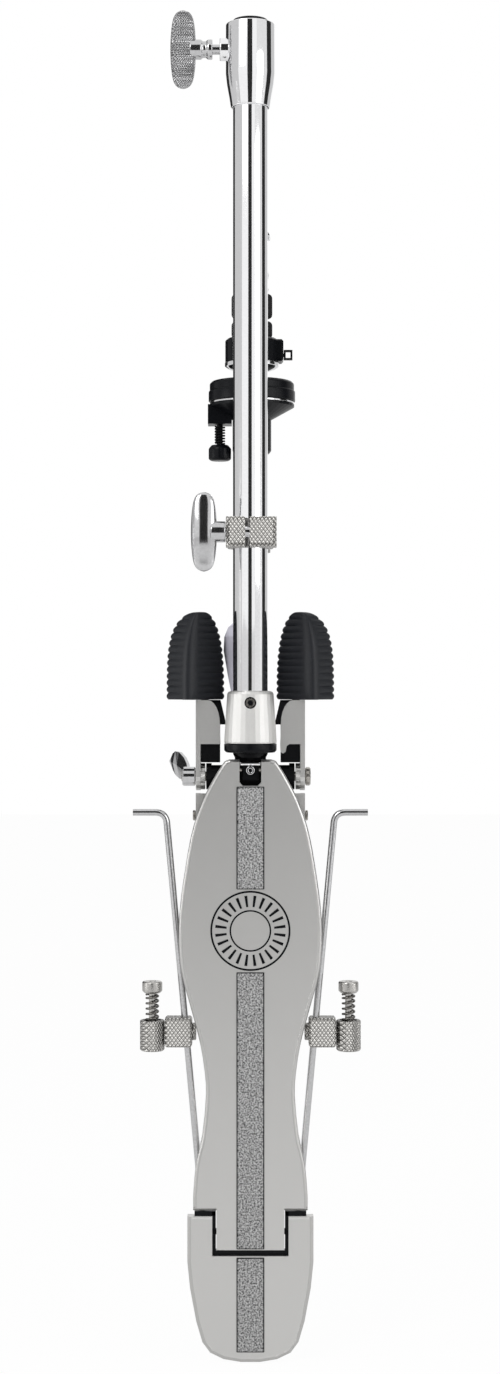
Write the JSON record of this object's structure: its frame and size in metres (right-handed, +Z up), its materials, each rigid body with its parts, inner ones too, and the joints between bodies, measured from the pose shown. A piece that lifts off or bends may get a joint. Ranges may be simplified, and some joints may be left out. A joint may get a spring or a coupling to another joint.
{
  "type": "hi-hat pedal stand",
  "caption": "Folded hi-hat pedal stand: footboard hung from a spring-returned pull rod, fold-out legs, heel plate on a wire rod with spur screws, and a stored upper tube with clutch.",
  "frame": {"origin": "on the main tube's axis, at the top of the base socket", "axes": "+Z up the main tube, -Y towards the footboard's tread, +X to the right seen from the tread side"},
  "size_m": [0.15, 0.0941, 0.8599],
  "materials": {
    "chrome": "polished",
    "satin_metal": "satin",
    "lever_metal": "satin",
    "black_cast": "satin",
    "black_plastic": "satin",
    "rubber": "matte",
    "felt": "matte",
    "grip_sheet": "rough",
    "knurled_steel": "knurled",
    "spring_steel": "bright"
  },
  "bodies": {
    "root": {"main_tube": "chrome", "height_collar": "chrome", "collar_bush": "black_plastic", "tube_clamp": "knurled_steel", "base_socket": "satin_metal", "socket_set_screw": "spring_steel", "base_casting": "black_cast", "upright_left": "satin_metal", "upright_right": "satin_metal", "upright_bolt_high": "spring_steel", "upright_bolt_low": "spring_steel", "cross_bolt": "spring_steel", "return_spring": "spring_steel"},
    "collar_wing": {"collar_wing_bolt": "chrome"},
    "clamp_wing": {"clamp_wing_bolt": "chrome"},
    "tension_ring_body": {"tension_ring": "black_plastic"},
    "socket_lever_body": {"socket_lever": "lever_metal"},
    "cross_lever_body": {"cross_lever": "lever_metal"},
    "leg_left_body": {"leg_left": "satin_metal", "leg_filler_left": "black_cast", "foot_left": "rubber"},
    "leg_right_body": {"leg_right": "satin_metal", "leg_filler_right": "black_cast", "foot_right": "rubber"},
    "pull_rod": {"lower_pull_rod": "chrome", "link_pin": "spring_steel"},
    "link": {"pull_link": "black_cast"},
    "board": {"footboard": "satin_metal", "toe_pin": "spring_steel", "grip_strip_toe": "grip_sheet", "grip_strip_middle": "grip_sheet", "hinge_pin": "spring_steel"},
    "heel": {"heel_plate": "satin_metal", "heel_strip": "grip_sheet", "heel_pad": "rubber"},
    "rod_frame": {"radius_rod": "chrome", "spur_block_left": "knurled_steel", "spur_block_right": "knurled_steel"},
    "cup_left": {"spur_cup_left": "knurled_steel", "spur_spring_left": "spring_steel"},
    "cup_right": {"spur_cup_right": "knurled_steel", "spur_spring_right": "spring_steel"},
    "screw_left": {"spur_screw_left": "spring_steel"},
    "screw_right": {"spur_screw_right": "spring_steel"},
    "stored_tube": {"upper_tube": "chrome", "tube_sleeve": "black_plastic", "seat_base": "black_plastic", "tilt_spring": "black_cast"},
    "tilt": {"tilt_screw": "black_plastic"},
    "seat": {"seat_cup": "black_plastic", "seat_washer": "chrome"},
    "stored_rod": {"upper_pull_rod": "chrome"},
    "clutch": {"clutch_foot": "chrome", "clutch_body": "black_plastic", "clutch_felt_lower": "felt", "clutch_felt_upper": "felt", "clutch_nut": "chrome"},
    "clutch_loop": {"clutch_loop_screw": "black_plastic"},
    "clutch_wing": {"clutch_top_screw": "chrome"}
  },
  "joints": [
    {"name": "collar_wing_turn", "type": "hinge", "parent": "root", "child": "collar_wing", "pos_m": [-0.0242, 0, 0.4093], "axis": [1, 0, 0], "continuous": true},
    {"name": "clamp_wing_turn", "type": "hinge", "parent": "root", "child": "clamp_wing", "pos_m": [-0.0154, -0.018, 0.1003], "axis": [1, 0, 0], "continuous": true},
    {"name": "tension_ring_turn", "type": "hinge", "parent": "root", "child": "tension_ring_body", "pos_m": [0, 0, -0.0335], "axis": [0, 0, 1], "continuous": true},
    {"name": "socket_lever_turn", "type": "hinge", "parent": "root", "child": "socket_lever_body", "pos_m": [-0.004, 0.02, -0.016], "axis": [0, 1, 0], "range_deg": [0, 20]},
    {"name": "cross_lever_turn", "type": "hinge", "parent": "root", "child": "cross_lever_body", "pos_m": [-0.035, 0.014, -0.055], "axis": [1, 0, 0], "range_deg": [-20, 60]},
    {"name": "leg_left_swing", "type": "hinge", "parent": "root", "child": "leg_left_body", "pos_m": [-0.035, 0.014, -0.055], "axis": [-1, 0, 0], "range_deg": [0, 128]},
    {"name": "leg_right_swing", "type": "hinge", "parent": "root", "child": "leg_right_body", "pos_m": [0.035, 0.014, -0.055], "axis": [-1, 0, 0], "range_deg": [0, 128]},
    {"name": "pull_rod_slide", "type": "slide", "parent": "root", "child": "pull_rod", "axis": [0, 0, 1], "range_m": [-0.03, 0], "stiffness_N_per_m": 1500, "springref_m": 0.03, "deforming": ["return_spring"]},
    {"name": "link_swing", "type": "hinge", "parent": "pull_rod", "child": "link", "pos_m": [0, 0, -0.037], "axis": [1, 0, 0], "range_deg": [-8, 2.5]},
    {"name": "toe_hinge", "type": "hinge", "parent": "link", "child": "board", "pos_m": [0, -0.0026, -0.0501], "axis": [-1, 0, 0], "range_deg": [0, 95]},
    {"name": "heel_hinge", "type": "hinge", "parent": "board", "child": "heel", "pos_m": [0, -0.00575, -0.3433], "axis": [-1, 0, 0], "range_deg": [0, 35]},
    {"name": "radius_rod_swing", "type": "hinge", "parent": "heel", "child": "rod_frame", "pos_m": [0, 0.0012, -0.366], "axis": [-1, 0, 0], "range_deg": [0, 100]},
    {"name": "spur_swivel_left", "type": "hinge", "parent": "rod_frame", "child": "cup_left", "pos_m": [-0.06265, 0.0012, -0.2174], "axis": [1, 0, 0], "range_deg": [0, 90]},
    {"name": "spur_swivel_right", "type": "hinge", "parent": "rod_frame", "child": "cup_right", "pos_m": [0.06265, 0.0012, -0.2174], "axis": [1, 0, 0], "range_deg": [0, 90]},
    {"name": "spur_screw_left_travel", "type": "slide", "parent": "cup_left", "child": "screw_left", "axis": [0, 0, 1], "range_m": [-0.01, 0], "deforming": ["spur_spring_left"]},
    {"name": "spur_screw_right_travel", "type": "slide", "parent": "cup_right", "child": "screw_right", "axis": [0, 0, 1], "range_m": [-0.01, 0], "deforming": ["spur_spring_right"]},
    {"name": "upper_tube_slide", "type": "slide", "parent": "root", "child": "stored_tube", "axis": [0, 0, 1], "range_m": [-0.02, 0.06]},
    {"name": "tilt_travel", "type": "slide", "parent": "stored_tube", "child": "tilt", "axis": [0, 0, 1], "range_m": [0, 0.004], "deforming": ["tilt_spring"]},
    {"name": "seat_tilt", "type": "hinge", "parent": "stored_tube", "child": "seat", "pos_m": [0.0279, 0.041, 0.1882], "axis": [0, 1, 0], "range_deg": [0, 4.8]},
    {"name": "upper_rod_slide", "type": "slide", "parent": "stored_tube", "child": "stored_rod", "axis": [0, 0, 1], "range_m": [0, 0.03]},
    {"name": "clutch_slide", "type": "slide", "parent": "stored_rod", "child": "clutch", "axis": [0, 0, 1], "range_m": [0, 0.03]},
    {"name": "clutch_loop_turn", "type": "hinge", "parent": "clutch", "child": "clutch_loop", "pos_m": [0.0216, 0.041, 0.2205], "axis": [1, 0, 0], "continuous": true},
    {"name": "clutch_wing_turn", "type": "hinge", "parent": "clutch", "child": "clutch_wing", "pos_m": [0.001, 0.041, 0.2993], "axis": [0, 1, 0], "continuous": true}
  ],
  "couplings": [
    {"joint": "seat_tilt", "follows": "tilt_travel", "rad_per_m": 20.88}
  ]
}
